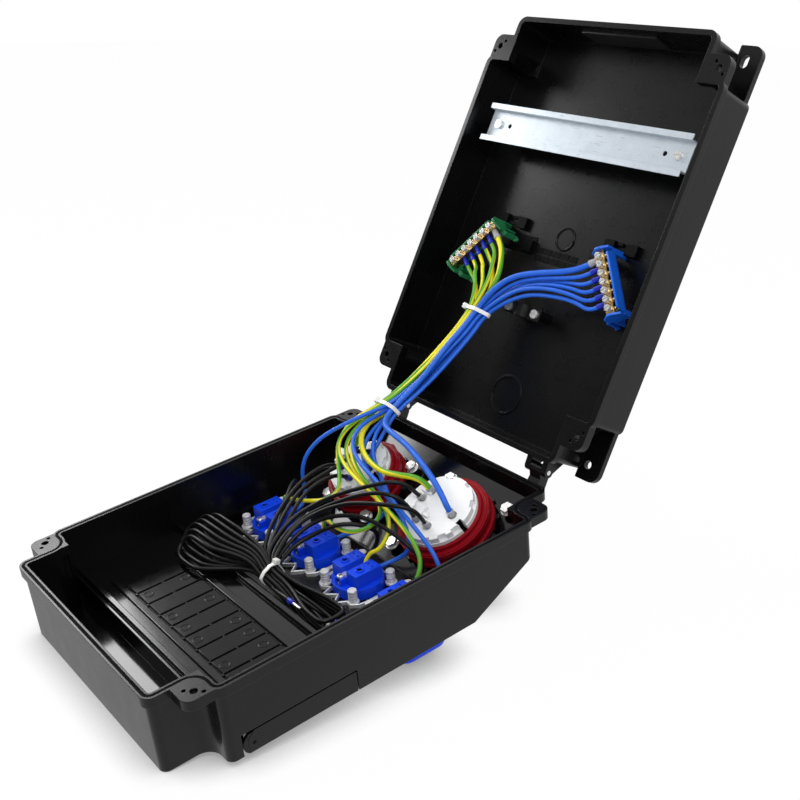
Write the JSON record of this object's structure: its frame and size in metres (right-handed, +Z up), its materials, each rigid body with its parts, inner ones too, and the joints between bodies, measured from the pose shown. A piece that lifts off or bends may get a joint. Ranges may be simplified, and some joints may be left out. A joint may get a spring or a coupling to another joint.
{
  "type": "site distribution board",
  "caption": "Open black site distribution box: hinged cover with mains and five-pole sockets behind, rear box with rail, earth and neutral bars and tied wiring.",
  "frame": {"origin": "on the floor under the middle of the bounding box of the open board, wiring left out", "axes": "+X across the board to the right as seen from the breaker end, +Y from the breaker end of the cover towards the open rear box, +Z up"},
  "size_m": [0.267, 0.5554, 0.4512],
  "materials": {
    "black_plastic": "glossy",
    "seal_rubber": "matt",
    "blue_plastic": "glossy",
    "red_plastic": "glossy",
    "white_plastic": "satin",
    "brass": "satin",
    "zinc_steel": "satin",
    "green_plastic": "glossy",
    "light_blue_plastic": "glossy",
    "ferrule_plastic": "satin",
    "earth_sheath": "satin",
    "neutral_sheath": "satin",
    "phase_sheath": "satin",
    "tie_nylon": "satin"
  },
  "bodies": {
    "front_cover": {"cover_shell": "black_plastic", "breaker_deck": "black_plastic", "socket_floor": "black_plastic", "slope_panel": "black_plastic", "cover_seal": "seal_rubber", "module_blank": "black_plastic", "flap_pins": "zinc_steel", "socket_body_1": "blue_plastic", "socket_frame_1": "zinc_steel", "socket_body_2": "blue_plastic", "socket_frame_2": "zinc_steel", "socket_body_3": "blue_plastic", "socket_frame_3": "zinc_steel", "socket_body_4": "blue_plastic", "socket_frame_4": "zinc_steel", "socket_blocks": "blue_plastic", "socket_posts": "zinc_steel", "socket_contacts": "brass", "terminal_screws": "zinc_steel", "cee32_housing": "red_plastic", "cee32_shroud": "red_plastic", "cee32_insert": "white_plastic", "cee32_core": "white_plastic", "cee32_contacts": "brass", "cee16_housing": "red_plastic", "cee16_shroud": "red_plastic", "cee16_insert": "white_plastic", "cee16_core": "white_plastic", "cee16_contacts": "brass", "cee_bolts": "zinc_steel", "lid_pins": "zinc_steel", "flange_seals": "seal_rubber", "pe_wires": "earth_sheath", "n_wires": "neutral_sheath", "harness_ties": "tie_nylon", "phase_hank": "phase_sheath", "hank_tie": "tie_nylon", "lead_ferrules": "ferrule_plastic", "phase_leads": "phase_sheath"},
    "rear_box": {"rear_shell": "black_plastic", "hinge_pins": "zinc_steel", "din_rail": "zinc_steel", "cable_clamp": "black_plastic", "rail_screws": "zinc_steel", "clamp_screws": "zinc_steel", "pe_holder": "green_plastic", "pe_bar": "brass", "pe_bar_screws": "zinc_steel", "pe_ferrules": "ferrule_plastic", "n_holder": "light_blue_plastic", "n_bar": "brass", "n_bar_screws": "brass", "n_ferrules": "ferrule_plastic"},
    "breaker_flap": {"breaker_flap": "black_plastic"},
    "socket_lid_1": {"socket_lid_1": "blue_plastic"},
    "socket_lid_2": {"socket_lid_2": "blue_plastic"},
    "socket_lid_3": {"socket_lid_3": "blue_plastic"},
    "socket_lid_4": {"socket_lid_4": "blue_plastic"},
    "cee32_lid": {"cee32_lid": "red_plastic"},
    "cee16_lid": {"cee16_lid": "red_plastic"}
  },
  "joints": [
    {"name": "box_hinge", "type": "hinge", "parent": "front_cover", "child": "rear_box", "pos_m": [0, 0.08591, 0.11656], "axis": [1, 0, 0], "range_deg": [0, 122.6], "deforming": ["pe_wires", "n_wires", "harness_ties"]},
    {"name": "breaker_flap_hinge", "type": "hinge", "parent": "front_cover", "child": "breaker_flap", "pos_m": [0, -0.21133, 0.01383], "axis": [-1, 0, 0], "range_deg": [0, 95]},
    {"name": "socket_lid_1_hinge", "type": "hinge", "parent": "front_cover", "child": "socket_lid_1", "pos_m": [-0.0915, -0.07866, 0.01623], "axis": [-1, 0, 0], "range_deg": [0, 110], "stiffness_Nm_per_rad": 0.02, "springref_deg": -57.3},
    {"name": "socket_lid_2_hinge", "type": "hinge", "parent": "front_cover", "child": "socket_lid_2", "pos_m": [-0.0305, -0.07866, 0.01623], "axis": [-1, 0, 0], "range_deg": [0, 110], "stiffness_Nm_per_rad": 0.02, "springref_deg": -57.3},
    {"name": "socket_lid_3_hinge", "type": "hinge", "parent": "front_cover", "child": "socket_lid_3", "pos_m": [0.0305, -0.07866, 0.01623], "axis": [-1, 0, 0], "range_deg": [0, 110], "stiffness_Nm_per_rad": 0.02, "springref_deg": -57.3},
    {"name": "socket_lid_4_hinge", "type": "hinge", "parent": "front_cover", "child": "socket_lid_4", "pos_m": [0.0915, -0.07866, 0.01623], "axis": [-1, 0, 0], "range_deg": [0, 110], "stiffness_Nm_per_rad": 0.02, "springref_deg": -57.3},
    {"name": "cee32_lid_hinge", "type": "hinge", "parent": "front_cover", "child": "cee32_lid", "pos_m": [0.052, 0.0083, 0.00735], "axis": [-1, 0, 0], "range_deg": [0, 100], "stiffness_Nm_per_rad": 0.05, "springref_deg": -57.3},
    {"name": "cee16_lid_hinge", "type": "hinge", "parent": "front_cover", "child": "cee16_lid", "pos_m": [-0.057, 0.01275, 0.00784], "axis": [-1, 0, 0], "range_deg": [0, 100], "stiffness_Nm_per_rad": 0.05, "springref_deg": -57.3}
  ]
}
